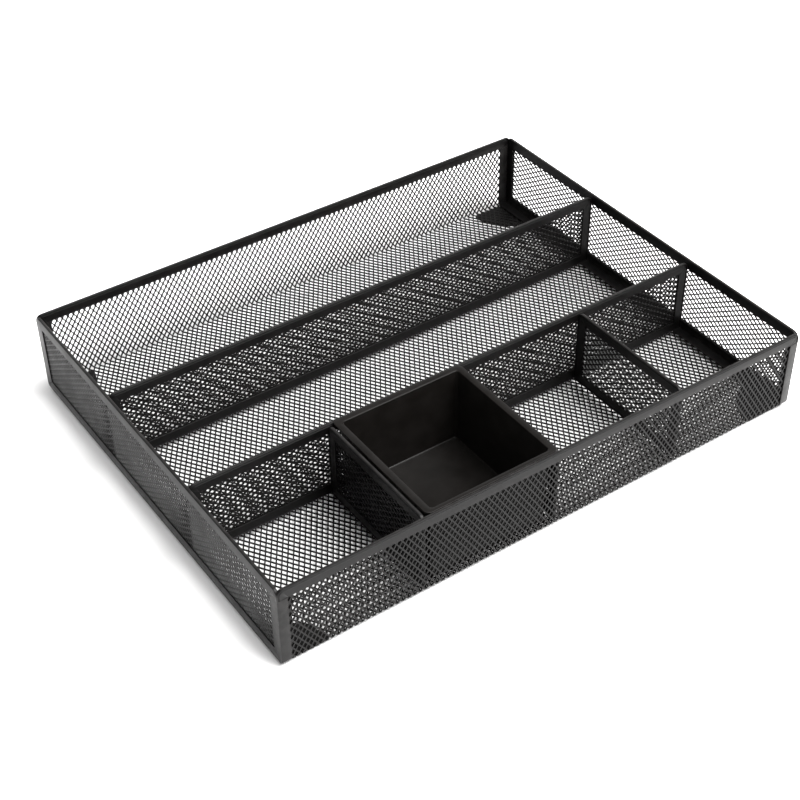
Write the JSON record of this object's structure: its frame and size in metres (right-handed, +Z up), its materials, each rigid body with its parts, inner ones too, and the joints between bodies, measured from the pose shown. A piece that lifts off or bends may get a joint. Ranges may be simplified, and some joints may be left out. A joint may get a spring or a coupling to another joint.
{
  "type": "drawer organizer insert",
  "caption": "Rectangular wire-mesh drawer organizer tray with folded steel rims, long and small compartments and a lift-out plastic bin.",
  "frame": {"origin": "middle of the rectangle the tray rests on, at the underside of the corner pads", "axes": "+X along the long front edge from the left side to the right, +Y from the front edge to the back, +Z up out of the open top"},
  "size_m": [0.387, 0.3, 0.06],
  "materials": {
    "mesh_steel": "satin black powder coat on flattened expanded steel mesh",
    "strip_steel": "satin black powder coat on folded steel strip",
    "bin_plastic": "fine-textured black injection-moulded plastic",
    "pad_rubber": "matt black rubber"
  },
  "bodies": {
    "tray": {"basket_sheet": "mesh_steel", "front_rim": "strip_steel", "back_rim": "strip_steel", "side_frame_left": "strip_steel", "side_mesh_left": "mesh_steel", "side_frame_right": "strip_steel", "side_mesh_right": "mesh_steel", "middle_divider_frame": "strip_steel", "middle_divider_mesh": "mesh_steel", "rear_divider_frame": "strip_steel", "rear_divider_mesh": "mesh_steel", "cross_divider_1_frame": "strip_steel", "cross_divider_1_mesh": "mesh_steel", "cross_divider_2_frame": "strip_steel", "cross_divider_2_mesh": "mesh_steel", "cross_divider_3_frame": "strip_steel", "cross_divider_3_mesh": "mesh_steel", "corner_pad_front_left": "pad_rubber", "corner_pad_front_right": "pad_rubber", "corner_pad_back_left": "pad_rubber", "corner_pad_back_right": "pad_rubber"},
    "bin": {"bin": "bin_plastic"}
  },
  "joints": [
    {"name": "bin_lift", "type": "slide", "parent": "tray", "child": "bin", "axis": [0, 0, 1], "range_m": [0, 0.075]}
  ]
}
